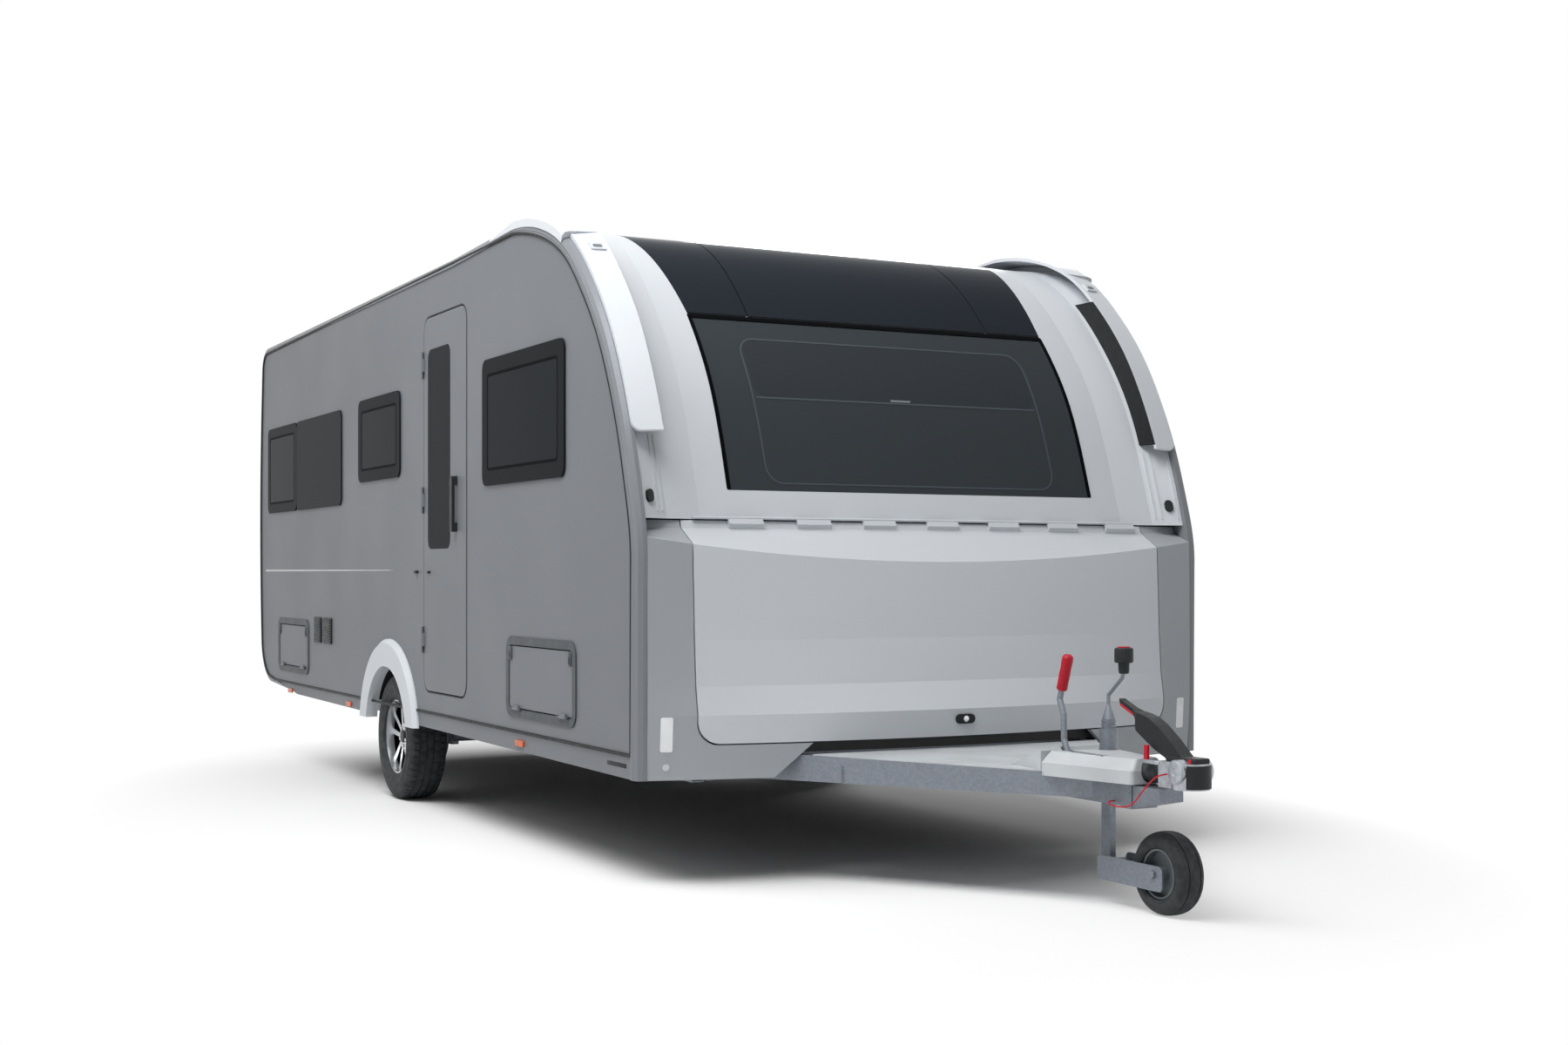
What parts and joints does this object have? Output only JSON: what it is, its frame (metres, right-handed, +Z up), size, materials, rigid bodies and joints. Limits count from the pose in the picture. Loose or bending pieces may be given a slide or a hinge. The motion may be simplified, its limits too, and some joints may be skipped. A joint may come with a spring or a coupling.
{
  "type": "travel caravan",
  "caption": "Single-axle travel caravan with hinged door, locker lid, hatches and rooflights, corner steadies and a sliding, swivelling jockey wheel under an A-frame drawbar.",
  "frame": {"origin": "on the ground under the middle of the overall box", "axes": "+X forward to the coupling, +Y to the left, away from the door side, +Z up"},
  "size_m": [7.314, 2.516, 2.538],
  "materials": {
    "wall_grey": "metallic satin",
    "front_silver": "metallic gloss",
    "wing_silver": "metallic gloss",
    "trim_grey": "satin painted",
    "dark_pane": "tinted gloss",
    "blind_grey": "pleated",
    "black_plastic": "satin",
    "frame_grey": "satin",
    "light_grey_plastic": "satin",
    "galvanised": "hot dip galvanised",
    "cast_silver": "painted casting",
    "rubber_black": "matt",
    "road_tyre": "matt",
    "rim_alloy": "machined and black",
    "rim_plastic": "satin",
    "floor_board": "sealed board",
    "amber_lens": "clear gloss",
    "red_lens": "clear gloss",
    "white_plate": "bare",
    "cable_red": "sheathed"
  },
  "bodies": {
    "root": {"floor_panel": "floor_board", "side_wall_right": "wall_grey", "side_wall_left": "wall_grey", "roof_panel": "wall_grey", "rear_panel": "wall_grey", "rear_window": "dark_pane", "rear_lamps": "red_lens", "plate_holder": "white_plate", "side_trims": "trim_grey", "skirts": "wall_grey", "front_shell": "front_silver", "front_window": "dark_pane", "skylight_panels": "dark_pane", "front_wings": "wing_silver", "nose_moulding": "front_silver", "front_bulkhead": "floor_board", "wheel_housings": "black_plastic", "wheel_arches": "front_silver", "side_windows": "dark_pane", "window_blinds": "blind_grey", "fridge_vents": "black_plastic", "side_markers": "amber_lens", "hatch_frames": "frame_grey", "door_hinges": "black_plastic", "rooflight_frames": "light_grey_plastic", "chassis_rails": "galvanised", "drawbar_frame": "galvanised", "axle_beam": "galvanised", "steady_spindles": "galvanised", "overrun_unit": "galvanised", "bellows": "rubber_black", "coupling_head": "cast_silver", "stabiliser_handle": "black_plastic", "drawbar_cover": "light_grey_plastic", "handbrake_lever": "galvanised", "jockey_tube": "galvanised", "breakaway_cable": "cable_red"},
    "entrance_door": {"entrance_door": "wall_grey", "door_window": "dark_pane", "door_handle": "black_plastic"},
    "locker_lid": {"locker_lid": "front_silver"},
    "hatch_lid_front": {"hatch_lid_front": "wall_grey"},
    "hatch_lid_rear": {"hatch_lid_rear": "wall_grey"},
    "hatch_lid_left": {"hatch_lid_left": "wall_grey"},
    "rooflight_lid_front": {"rooflight_lid_front": "light_grey_plastic"},
    "rooflight_lid_rear": {"rooflight_lid_rear": "light_grey_plastic"},
    "wheel_right": {"tyre_right": "road_tyre", "rim_right": "rim_alloy"},
    "wheel_left": {"tyre_left": "road_tyre", "rim_left": "rim_alloy"},
    "jockey_stem": {"jockey_stem": "galvanised"},
    "jockey_fork": {"jockey_fork": "galvanised"},
    "jockey_wheel": {"jockey_tyre": "rubber_black", "jockey_rim": "rim_plastic"},
    "steady_rear_right": {"steady_leg_rear_right": "galvanised"},
    "steady_rear_left": {"steady_leg_rear_left": "galvanised"},
    "steady_front_right": {"steady_leg_front_right": "galvanised"},
    "steady_front_left": {"steady_leg_front_left": "galvanised"}
  },
  "joints": [
    {"name": "entrance_door_hinge", "type": "hinge", "parent": "root", "child": "entrance_door", "pos_m": [-0.30317, -1.24, 1.4], "axis": [0, 0, -1], "range_deg": [0, 160]},
    {"name": "locker_lid_hinge", "type": "hinge", "parent": "root", "child": "locker_lid", "pos_m": [2.06598, 0, 1.29596], "axis": [0, -1, 0], "range_deg": [0, 80]},
    {"name": "hatch_front_hinge", "type": "hinge", "parent": "root", "child": "hatch_lid_front", "pos_m": [1.2045, -1.2413, 0.55101], "axis": [1, 0, 0], "range_deg": [0, 90]},
    {"name": "hatch_rear_hinge", "type": "hinge", "parent": "root", "child": "hatch_lid_rear", "pos_m": [-2.798, -1.2413, 0.55902], "axis": [1, 0, 0], "range_deg": [0, 90]},
    {"name": "hatch_left_hinge", "type": "hinge", "parent": "root", "child": "hatch_lid_left", "pos_m": [-2.06, 1.2413, 0.59405], "axis": [-1, 0, 0], "range_deg": [0, 90]},
    {"name": "rooflight_front_hinge", "type": "hinge", "parent": "root", "child": "rooflight_lid_front", "pos_m": [-0.91519, 0, 2.49461], "axis": [0, -1, 0], "range_deg": [0, 60]},
    {"name": "rooflight_rear_hinge", "type": "hinge", "parent": "root", "child": "rooflight_lid_rear", "pos_m": [-2.91508, 0, 2.48169], "axis": [0, -1, 0], "range_deg": [0, 60]},
    {"name": "wheel_right_spin", "type": "hinge", "parent": "root", "child": "wheel_right", "pos_m": [-0.84972, -1.1225, 0.302], "axis": [0, 1, 0], "continuous": true},
    {"name": "wheel_left_spin", "type": "hinge", "parent": "root", "child": "wheel_left", "pos_m": [-0.84972, 1.1225, 0.302], "axis": [0, 1, 0], "continuous": true},
    {"name": "jockey_slide", "type": "slide", "parent": "root", "child": "jockey_stem", "axis": [0, 0, 1], "range_m": [-0.08, 0.07]},
    {"name": "jockey_swivel", "type": "hinge", "parent": "jockey_stem", "child": "jockey_fork", "pos_m": [3.075, 0.086, 0.2], "axis": [0, 0, 1], "continuous": true},
    {"name": "jockey_wheel_spin", "type": "hinge", "parent": "jockey_fork", "child": "jockey_wheel", "pos_m": [3.385, 0.086, 0.135], "axis": [0, 1, 0], "continuous": true},
    {"name": "steady_rear_right_fold", "type": "hinge", "parent": "root", "child": "steady_rear_right", "pos_m": [-2.7001, -0.76, 0.372], "axis": [0, -1, 0], "range_deg": [0, 52]},
    {"name": "steady_rear_left_fold", "type": "hinge", "parent": "root", "child": "steady_rear_left", "pos_m": [-2.7001, 0.76, 0.372], "axis": [0, -1, 0], "range_deg": [0, 52]},
    {"name": "steady_front_right_fold", "type": "hinge", "parent": "root", "child": "steady_front_right", "pos_m": [1.32991, -0.76, 0.372], "axis": [0, 1, 0], "range_deg": [0, 52]},
    {"name": "steady_front_left_fold", "type": "hinge", "parent": "root", "child": "steady_front_left", "pos_m": [1.32991, 0.76, 0.372], "axis": [0, 1, 0], "range_deg": [0, 52]}
  ]
}
